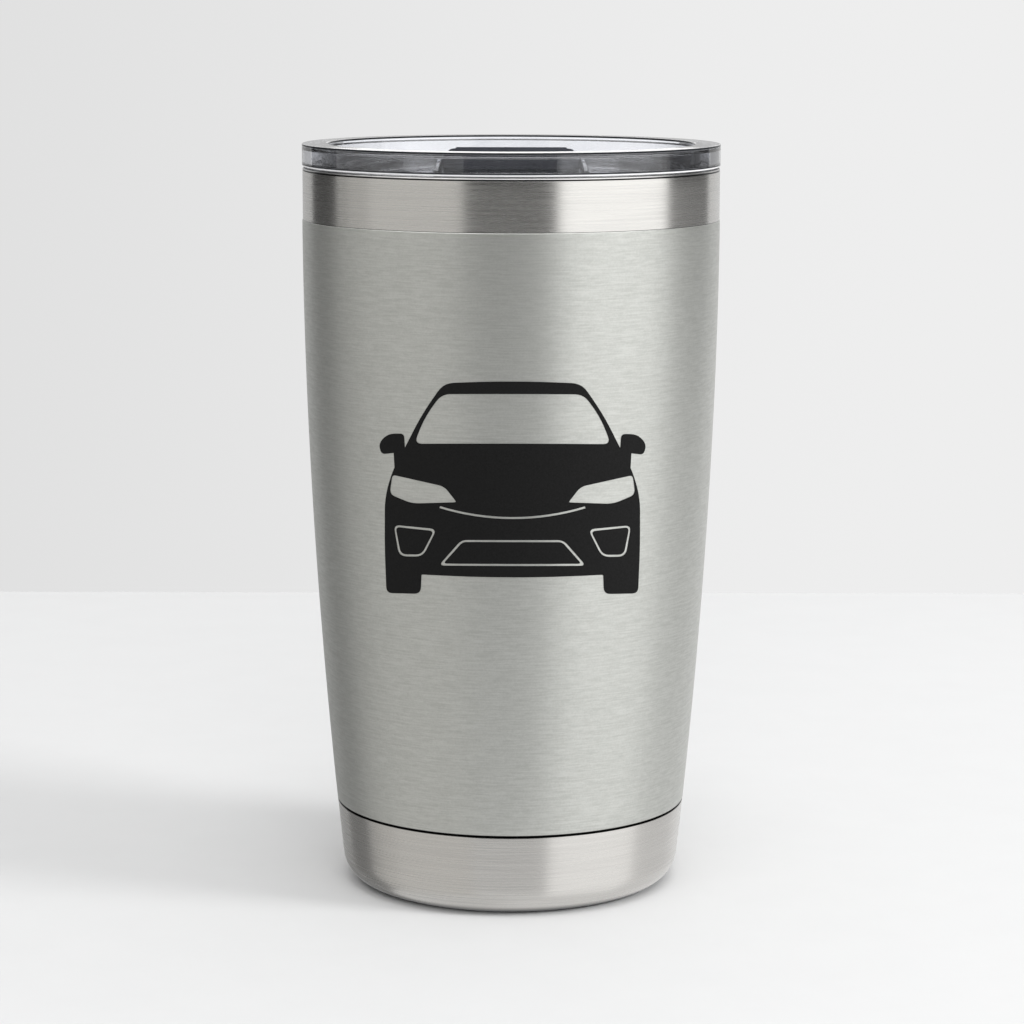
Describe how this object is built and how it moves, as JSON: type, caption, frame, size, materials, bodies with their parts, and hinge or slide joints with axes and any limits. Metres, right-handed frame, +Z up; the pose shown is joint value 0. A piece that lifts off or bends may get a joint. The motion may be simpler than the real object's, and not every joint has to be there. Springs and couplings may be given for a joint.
{
  "type": "insulated tumbler with lid",
  "caption": "Double-walled steel tumbler with a tapered coated side, bare bands, a printed car graphic and a clear push-in lid with a drink slider.",
  "frame": {"origin": "middle of the foot ring, on the table", "axes": "+Z up the tumbler's axis, towards the lid; the printed graphic faces -Y; the drinking hole is on the +Y side"},
  "size_m": [0.089, 0.089, 0.16],
  "materials": {
    "brushed_steel": "fine brushing round the body",
    "plain_steel": "plain stamped sheet",
    "liner_steel": "electropolished satin",
    "satin_coating": "satin silver-grey coating with fine grain",
    "black_print": "matt black print",
    "copper": "bright copper foil",
    "getter": "pressed powder",
    "sealing_glass": "dark sealing glass",
    "adhesive": "cured adhesive",
    "smoke_clear": "polished smoke-tinted clear plastic",
    "dark_smoke": "dark satin plastic",
    "silicone": "translucent matt silicone",
    "magnet": "nickel plated"
  },
  "bodies": {
    "vessel": {"outer_shell": "brushed_steel", "shell_bottom": "plain_steel", "inner_liner": "liner_steel", "liner_bottom": "liner_steel", "base_cup": "brushed_steel", "base_adhesive": "adhesive", "body_coating": "satin_coating", "car_decal": "black_print", "copper_foil": "copper", "getter_pellet": "getter", "getter_clip": "plain_steel", "vacuum_seal": "sealing_glass"},
    "lid": {"lid_body": "smoke_clear", "lid_gasket": "silicone", "lid_magnets": "magnet", "magnet_caps": "smoke_clear"},
    "slider": {"slider_body": "dark_smoke", "slider_plate": "dark_smoke", "slider_magnet": "magnet", "slider_seal": "silicone"}
  },
  "joints": [
    {"name": "lid_lift", "type": "slide", "parent": "vessel", "child": "lid", "axis": [0, 0, 1], "range_m": [0, 0.045]},
    {"name": "slider_slide", "type": "slide", "parent": "lid", "child": "slider", "axis": [0, -1, 0], "range_m": [0, 0.014]}
  ]
}
